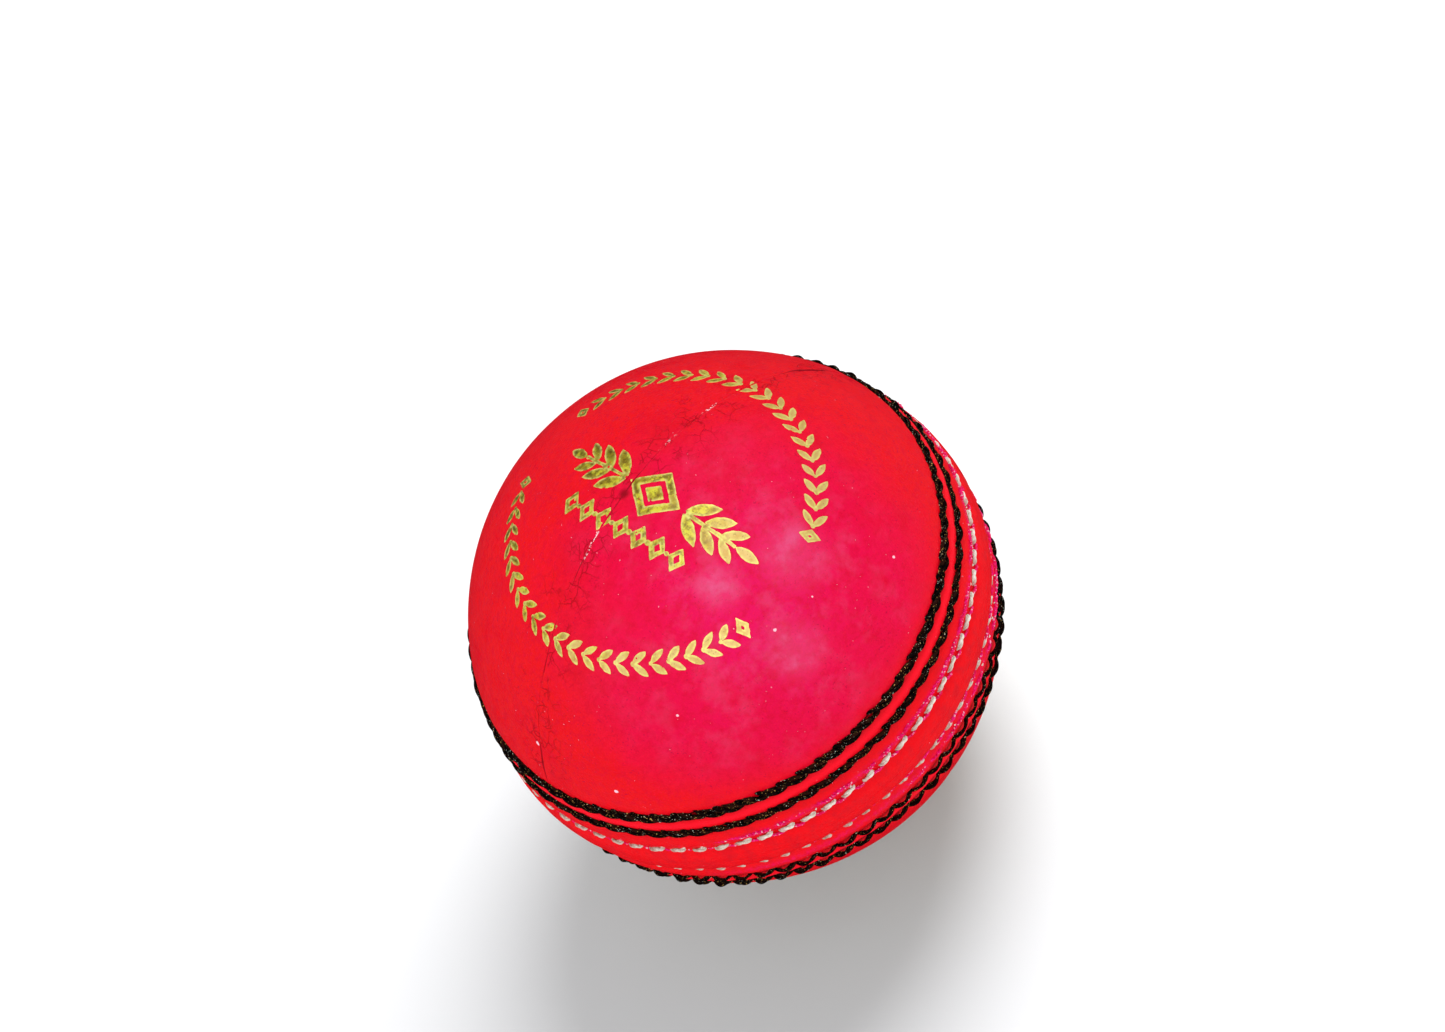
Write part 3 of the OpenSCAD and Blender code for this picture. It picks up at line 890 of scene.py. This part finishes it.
    # wear: tiny rubbed spots anywhere on the cups
    rub = k.math("MULTIPLY", k.ramp(k.noise(0.45, 2.0, 0.5), 0.742, 0.765), k.ramp(k.noise(6.0, 1.0), 0.47, 0.60))
    col = k.mix(k.math("MULTIPLY", rub, 0.75), col, lin(252, 176, 196))
    for x, y, size in ((-0.423, -0.629, 0.50), (-0.714, -0.461, 0.45), (0.142, -0.049, 0.42), (0.273, 0.068, 0.34), (0.566, 0.210, 0.45), (-0.20, -0.35, 0.30)):
        dt = k.n("ShaderNodeVectorMath", operation="DOT_PRODUCT")
        k.put(dt.inputs[0], unit.outputs[0])
        dt.inputs[1].default_value = seen_at(x, y)
        away = k.math("MULTIPLY", k.math("ARCCOSINE", dt.outputs["Value"]), 57.2958)
        away = k.math("ADD", away, k.math("MULTIPLY", k.math("SUBTRACT", k.noise(0.7, 2.0), 0.5), 0.9))
        col = k.mix(k.ramp(away, size, size * 0.6), col, lin(250, 200, 216))
    k.set("Base Color", col)
    rough = k.math("ADD", k.ramp(k.noise(3.0, 4.0, 0.6), 0.3, 0.7, 0.36, 0.50), k.math("MULTIPLY", k.math("ADD", rub, fleck), 0.25))
    rough = k.math("ADD", rough, k.math("MULTIPLY", haze_and_sheen, 0.10))
    k.set("Roughness", rough)
    # grain: pores and fine creases, then a soft pebble
    pores = k.voronoi(0.42, "F1")
    pebble = k.ramp(k.voronoi(0.85, "DISTANCE_TO_EDGE"), 0.0, 0.14)
    n1 = k.bump(pores, 0.000020)
    n2 = k.bump(pebble, 0.000016, n1)
    n3 = k.bump(k.noise(0.16, 2.0), 0.000014, n2)
    n4 = k.bump(k.noise(1.8, 3.0), 0.00005, n3)
    k.set("Normal", k.bump(k.math("SUBTRACT", 1.0, crease), 0.00006, n4))
    return k.m


def black_thread():
    k = Mat("black_thread", Specular_IOR_Level=0.05)
    f = k.noise(0.55, 3.0, 0.6)
    col = k.mix(k.ramp(f, 0.35, 0.7), lin(3, 3, 4), lin(12, 7, 6))
    brown = k.math("MULTIPLY", k.attr("tint"), k.ramp(k.noise(0.9, 2.0), 0.38, 0.54))
    col = k.mix(k.math("MULTIPLY", brown, 0.85), col, lin(52, 20, 10))
    fibre = k.noise(0.07, 2.0, 0.6)
    col = k.mix(k.ramp(fibre, 0.60, 0.78, 0.0, 0.30), col, lin(34, 20, 12))
    # pale and gold specks, more on the brown ply: painted glints
    thread_glints = k.math("MULTIPLY", k.ramp(k.noise(0.21, 1.0), 0.665, 0.70), k.math("ADD", 0.30, k.math("MULTIPLY", k.attr("tint"), 0.70)))
    col = k.mix(thread_glints, col, k.mix(k.ramp(k.noise(1.3, 1.0), 0.40, 0.50), lin(214, 226, 206), lin(222, 176, 96)))
    k.set("Base Color", col)
    k.set("Roughness", k.ramp(f, 0.3, 0.7, 0.36, 0.60))
    n1 = k.bump(fibre, 0.00003)
    k.set("Normal", k.bump(k.noise(0.22, 2.0), 0.00002, n1))
    return k.m


def white_thread(name="closing_thread", stained=True):
    k = Mat(name, Specular_IOR_Level=0.15)
    f = k.noise(0.5, 3.0, 0.6)
    col = k.mix(k.ramp(f, 0.35, 0.7), lin(250, 247, 236), lin(222, 214, 194))
    fibre = k.noise(0.06, 2.0, 0.6)
    col = k.mix(k.ramp(fibre, 0.5, 0.75, 0.0, 0.40), col, lin(150, 140, 118))
    if stained:
        # greyer beige on the white strands: dirt, with painted shade where they dive into their holes and on the lower
        # row
        dirt = k.attr("dirt")
        grime_and_shade = k.math("MULTIPLY", dirt, k.ramp(k.noise(0.35, 3.0, 0.6), 0.25, 0.60, 0.35, 1.0))
        col = k.mix(grime_and_shade, col, lin(170, 140, 116))
        blush = k.math("ADD", k.ramp(k.noise(0.7, 2.0), 0.56, 0.72, 0.0, 0.35), k.math("MULTIPLY", dirt, 0.15))
        col = k.mix(blush, col, lin(232, 96, 130))
        st = k.attr("stain")
        c2 = k.mix(k.ramp(k.noise(0.6, 2.0), 0.35, 0.66), lin(236, 0, 78), lin(250, 16, 122))
        # pale pink specks on the stained cord: painted glints
        cord_glints = k.ramp(k.noise(0.33, 1.0), 0.60, 0.665)
        c2 = k.mix(cord_glints, c2, lin(252, 176, 200))
        col = k.mix(st, col, c2)
    k.set("Base Color", col)
    k.set("Roughness", k.ramp(f, 0.3, 0.7, 0.55, 0.78))
    n1 = k.bump(fibre, 0.00003)
    k.set("Normal", k.bump(k.noise(0.2, 2.0), 0.00002, n1))
    return k.m


def foil_material():
    k = Mat("gold_foil", Metallic=0.4, Specular_IOR_Level=0.5)
    unit = k.n("ShaderNodeVectorMath", operation="NORMALIZE")
    k.put(unit.inputs[0], k.mm)
    # olive gold towards the upper left of the main view, where the foil faces away from the front light, and tan gold
    # towards the middle: painted reflection
    dt = k.n("ShaderNodeVectorMath", operation="DOT_PRODUCT")
    k.put(dt.inputs[0], unit.outputs[0])
    dt.inputs[1].default_value = seen_at(-0.62, 0.55)
    leftward = k.ramp(k.math("ADD", dt.outputs["Value"], k.math("MULTIPLY", k.math("SUBTRACT", k.noise(6.0, 3.0), 0.5), 0.5)), 0.58, 0.90)
    a = k.noise(1.6, 4.0, 0.62)
    rightward = k.mix(k.ramp(a, 0.36, 0.64), lin(244, 210, 132), lin(230, 188, 102))
    rightward = k.mix(k.ramp(k.noise(0.42, 3.0, 0.65), 0.56, 0.72, 0.0, 0.65), rightward, lin(158, 116, 44))
    dark_reflection_gold = k.mix(k.ramp(k.noise(1.1, 3.0, 0.6), 0.40, 0.60), lin(240, 234, 64), lin(186, 164, 40))
    dark_reflection_gold = k.mix(k.ramp(k.noise(0.95, 4.0, 0.65), 0.47, 0.62, 0.0, 0.80), dark_reflection_gold, lin(112, 84, 16))
    col = k.mix(leftward, rightward, dark_reflection_gold)
    # darkest near the upper left edge of the main view: painted dark reflection
    far = k.n("ShaderNodeVectorMath", operation="DOT_PRODUCT")
    k.put(far.inputs[0], unit.outputs[0])
    far.inputs[1].default_value = seen_at(-0.75, 0.66)
    deep = k.ramp(k.math("ADD", far.outputs["Value"], k.math("MULTIPLY", k.math("SUBTRACT", k.noise(3.0, 2.0), 0.5), 0.3)), 0.64, 0.86)
    col = k.mix(k.math("MULTIPLY", deep, k.ramp(k.noise(0.75, 3.0, 0.6), 0.40, 0.58, 0.30, 0.90)), col, lin(92, 80, 14))
    # pale yellow along the foil's edges: painted highlight
    edge_highlight = k.math("MULTIPLY", k.attr("edge"), k.ramp(k.noise(0.7, 2.0), 0.34, 0.58, 0.15, 0.90))
    col = k.mix(edge_highlight, col, lin(254, 250, 140))
    k.set("Base Color", col)
    k.set("Roughness", k.ramp(k.noise(0.8, 4.0, 0.65), 0.3, 0.7, 0.30, 0.52))
    n1 = k.bump(k.noise(0.35, 3.0, 0.6), 0.00004)
    k.set("Normal", k.bump(k.voronoi(0.42, "F1"), 0.00002, n1))
    return k.m


def yarn_material():
    k = Mat("worsted_yarn", Specular_IOR_Level=0.2, Sheen_Weight=0.3, Sheen_Roughness=0.5)
    f = k.noise(1.5, 3.0, 0.6)
    col = k.mix(k.ramp(f, 0.3, 0.7), lin(232, 224, 206), lin(204, 192, 168))
    fib = k.noise(0.12, 3.0, 0.6)
    col = k.mix(k.ramp(fib, 0.5, 0.8, 0.0, 0.6), col, lin(150, 136, 112))
    # darker brown on the strands' sides and in the valleys between them: painted shade
    col = k.mix(k.ramp(k.attr("lit_crest"), 0.10, 0.85), lin(96, 80, 58), col)
    k.set("Base Color", col)
    k.set("Roughness", k.ramp(f, 0.3, 0.7, 0.75, 0.92))
    k.set("Normal", k.bump(fib, 0.00005))
    return k.m


def cork_material(name, dark):
    k = Mat(name, Specular_IOR_Level=0.2)
    v = k.n("ShaderNodeTexVoronoi", feature="F1")
    k.put(v.inputs["Vector"], k.mm)
    v.inputs["Scale"].default_value = 0.9 if dark else 0.5
    g = k.n("ShaderNodeSeparateColor")
    k.put(g.inputs[0], v.outputs["Color"])
    a, b = (lin(96, 62, 40), lin(168, 122, 80)) if dark else (lin(202, 160, 112), lin(160, 114, 72))
    col = k.mix(g.outputs[0], a, b)
    if dark:
        col = k.mix(k.ramp(k.noise(1.2, 3.0), 0.45, 0.6), col, lin(48, 30, 24))
    pits = k.ramp(k.noise(0.5, 4.0, 0.7), 0.60, 0.70)
    col = k.mix(pits, col, lin(74, 44, 26))
    k.set("Base Color", col)
    k.set("Roughness", k.ramp(k.noise(1.0, 3.0), 0.3, 0.7, 0.7, 0.9))
    k.set("Normal", k.bump(k.math("SUBTRACT", k.noise(0.6, 3.0), pits), 0.0002))
    return k.m


def lining_material():
    k = Mat("lining_leather", Specular_IOR_Level=0.25)
    f = k.noise(2.0, 4.0, 0.6)
    col = k.mix(k.ramp(f, 0.3, 0.7), lin(200, 160, 118), lin(164, 122, 84))
    col = k.mix(k.ramp(k.noise(0.3, 3.0, 0.7), 0.5, 0.75, 0.0, 0.5), col, lin(126, 88, 58))
    k.set("Base Color", col)
    k.set("Roughness", k.ramp(f, 0.3, 0.7, 0.7, 0.9))
    k.set("Normal", k.bump(k.noise(0.25, 3.0, 0.6), 0.00006))
    return k.m


# ---------------------------------------------------------------- pieces
leather = leather_material()
black = black_thread()
white = white_thread()
plain_thread = white_thread("butt_thread", stained=False)
gold = foil_material()
yarn = yarn_material()
cork = cork_material("cork_slivers", False)
nucleus = cork_material("cork_rubber", True)
lining = lining_material()


def piece(o, slot, *nodes):
    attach(o, "root")
    if nodes:
        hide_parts(*nodes)
    return o


def paint_leather(o, cup):
    n = len(o.data.vertices)
    co = np.zeros(n * 3)
    o.data.vertices.foreach_get("co", co)
    q = co.reshape(-1, 3) * 1000
    P = q / np.linalg.norm(q, axis=1)[:, None]
    alat = np.degrees(np.arcsin(np.clip(np.abs(P[:, 2]), 0, 1)))
    band = 1 / (1 + np.exp((alat - 20.0) / 1.6))
    ridge = np.exp(-((alat - 7.6) / 0.95) ** 2) * np.clip((P @ np.array(right) + 0.12) / 0.24, 0, 1)
    d = np.abs(q[:, 1] if cup > 0 else q[:, 0])
    s = np.stack([q[:, 0] if cup > 0 else q[:, 1], q[:, 2], 0 * d + 3.0 * cup], 1)
    w = 0.34 * noise(s, 7.0, 51) + 0.12 * noise(s, 2.2, 52)
    d = np.abs((q[:, 1] if cup > 0 else q[:, 0]) - w * np.exp(-(d / 3.0) ** 2))
    open_ = np.clip(0.5 + 0.9 * noise((1.0 if cup > 0 else -1.0) * q, 5.0, 32), 0, 1)
    crack = np.exp(-(d / 0.15) ** 2) * (0.36 + 0.64 * open_) * (1 - 0.75 * band)
    lip = np.exp(-((d - 0.07) / 0.12) ** 4) * np.clip(open_ * 3.0 - 1.0, 0, 1) * (alat > 21)
    if cup > 0:
        spots = [(-0.095, 0.754, 2.4), (-0.264, 0.638, 2.6), (-0.515, 0.259, 3.4), (-0.639, 0.113, 2.6)]
        where = [np.exp(-(np.degrees(np.arccos(np.clip(P @ np.array(seen_at(x, y)), -1, 1))) / sz) ** 2) for x, y, sz in spots]
        lip = np.exp(-((d - 0.07) / 0.12) ** 4) * np.clip(1.9 * np.max(where, axis=0) - 0.25, 0, 1)
    near = np.exp(-(d / 4.2) ** 2) * (1 - band)
    # the strip between the outer and middle rows that gets painted light
    lit_lane = np.exp(-((alat - 14.65) / 1.1) ** 2)
    for name, v in (("lit_lane", lit_lane), ("band", band), ("ridge", ridge), ("crack", crack), ("lip", lip), ("near", near)):
        float_attr(o, name, v)


for node, cup, turn in (("quarter_upper_left", 1, 0), ("quarter_upper_right", 1, 180),
                        ("quarter_lower_left", -1, 0), ("quarter_lower_right", -1, 180)):
    o = quarter("leather_" + node, cup, turn, leather)
    paint_leather(o, cup)
    piece(o, "cover_leather", node)

for side, cup, sd in (("upper", 1, 101), ("lower", -1, 102)):
    piece(black_row("thread_outer_" + side, cup, LAT_A, 0.48, 0.280, 0.310, black, sd), "black_thread", "outer_row_" + side)
    piece(black_row("thread_middle_" + side, cup, LAT_B, 0.37, 0.215, 0.265, black, sd + 10), "black_thread", "middle_row_" + side)
piece(white_row("thread_closing_upper", 1, white, 105), "closing_thread", "closing_row_upper")
piece(white_row("thread_closing_lower", -1, white, 106), "closing_thread", "closing_row_lower")
piece(foil("foil_ornament", gold), "cover_leather")

nodes = frame["nodes"]


def dress(node, mat):
    o = nodes[node] if not isinstance(nodes, list) else bpy.data.objects[node]
    o.data.materials.clear()
    o.data.materials.append(mat)


dress("core_nucleus", nucleus)
dress("cork_slivers_inner", cork)
dress("cork_slivers_outer", cork)
dress("lining_strip_upper", lining)
dress("lining_strip_lower", lining)
dress("butt_stitches_upper", plain_thread)
dress("butt_stitches_lower", plain_thread)
for nd, ro, ri, turns, sd in (("yarn_wrap_inner", 17.867, 13.0, 104, 201), ("yarn_wrap_middle", 24.933, 20.067, 144, 202),
                              ("yarn_wrap_outer", 32.0, 27.133, 184, 203)):
    piece(yarn_layer("wound_" + nd, ro, ri, turns, 2.3, yarn, sd), "worsted_yarn", nd)
for ob in bpy.context.scene.objects:
    if ob.name.startswith("leather_"):
        ob.visible_diffuse = False      # no pink cast on the floor

# ---------------------------------------------------------------- stage, lights, camera
centre = Vector((0, 0, 0))
floor_z = cad_lo.z - 0.0003
bpy.ops.mesh.primitive_plane_add(size=8.0, location=(0, 0, floor_z))
floor = bpy.context.object
floor.name = "floor"
fm = bpy.data.materials.new("floor")
fm.use_nodes = True
fb = fm.node_tree.nodes["Principled BSDF"]
fb.inputs["Base Color"].default_value = (0.655, 0.66, 0.675, 1)
fb.inputs["Roughness"].default_value = 0.9
fb.inputs["Specular IOR Level"].default_value = 0.0
# the plane's underside lets the ball be seen from below
geo = fm.node_tree.nodes.new("ShaderNodeNewGeometry")
see = fm.node_tree.nodes.new("ShaderNodeBsdfTransparent")
mx = fm.node_tree.nodes.new("ShaderNodeMixShader")
fm.node_tree.links.new(geo.outputs["Backfacing"], mx.inputs[0])
fm.node_tree.links.new(fb.outputs[0], mx.inputs[1])
fm.node_tree.links.new(see.outputs[0], mx.inputs[2])
fm.node_tree.links.new(mx.outputs[0], fm.node_tree.nodes["Material Output"].inputs[0])
floor.data.materials.append(fm)

world = bpy.data.worlds.new("studio")
bpy.context.scene.world = world
world.use_nodes = True
bg = world.node_tree.nodes["Background"]
bg.inputs[0].default_value = (1, 1, 1, 1)
# white to the eye, a soft fill on the ball, and not a mirror image in its gloss
lp = world.node_tree.nodes.new("ShaderNodeLightPath")
m2 = world.node_tree.nodes.new("ShaderNodeMix")
m2.inputs[2].default_value, m2.inputs[3].default_value = 0.85, 1.0
world.node_tree.links.new(lp.outputs["Is Camera Ray"], m2.inputs[0])
world.node_tree.links.new(m2.outputs[0], bg.inputs[1])
world.cycles_visibility.glossy = False
floor.visible_glossy = False


def area(name, direction, dist, size, power):
    li = bpy.data.lights.new(name, "AREA")
    li.shape = "DISK"
    li.size = size
    li.energy = power
    ob = bpy.data.objects.new(name, li)
    bpy.context.scene.collection.objects.link(ob)
    d = Vector(direction).normalized()
    ob.location = centre + d * dist
    ob.rotation_mode = "QUATERNION"
    ob.rotation_quaternion = (-d).to_track_quat("-Z", "Y")
    return ob


only_ball = bpy.data.collections.new("lit_ball")
only_floor = bpy.data.collections.new("lit_floor")
only_leather = bpy.data.collections.new("lit_leather")
for ob in list(bpy.context.scene.objects):
    if ob.type == "MESH":
        (only_floor if ob == floor else only_ball).objects.link(ob)
        if ob.name.startswith(("leather_", "foil_")):
            only_leather.objects.link(ob)
key_dir = Vector((0.645, 0.118, 0.755))
area("key", key_dir, 0.9, 0.55, 0.9)
front = area("front", back * 1.0 + up * 0.08, 1.0, 1.5, 5.0)
front.visible_diffuse = False            # a soft panel that only shows in the gloss
front.light_linking.receiver_collection = only_leather
area("bloom", back * 1.0 + right * 0.12, 0.9, 0.34, 0.18).light_linking.receiver_collection = only_ball
area("side", right * 0.72 - up * 0.30 + back * 0.62, 0.8, 0.5, 0.6).light_linking.receiver_collection = only_ball
area("low", -up * 0.80 + back * 0.56, 0.8, 0.5, 0.38).light_linking.receiver_collection = only_ball
area("top", up * 0.85 + back * 0.45, 0.8, 0.5, 0.8).light_linking.receiver_collection = only_ball
area("left", -right * 0.80 - up * 0.30 + back * 0.50, 0.8, 0.5, 0.72).light_linking.receiver_collection = only_ball
area("shade", key_dir, 0.9, 0.55, 10.0).light_linking.receiver_collection = only_floor

cam_data = bpy.data.cameras.new("camera")
cam = bpy.data.objects.new("camera", cam_data)
bpy.context.scene.collection.objects.link(cam)
cam_data.sensor_width = 36.0
cam_data.lens = 92.74
cam_data.shift_x = -0.00817
cam_data.shift_y = 0.06923
cam_data.clip_start, cam_data.clip_end = 0.01, 20
cam.rotation_mode = "QUATERNION"
m = Matrix((right, up, back)).transposed()
cam.rotation_quaternion = m.to_quaternion()
cam.location = back * (14 * 0.036)
bpy.context.scene.camera = cam
bpy.context.scene.view_settings.view_transform = "Standard"
bpy.context.scene.view_settings.look = "None"
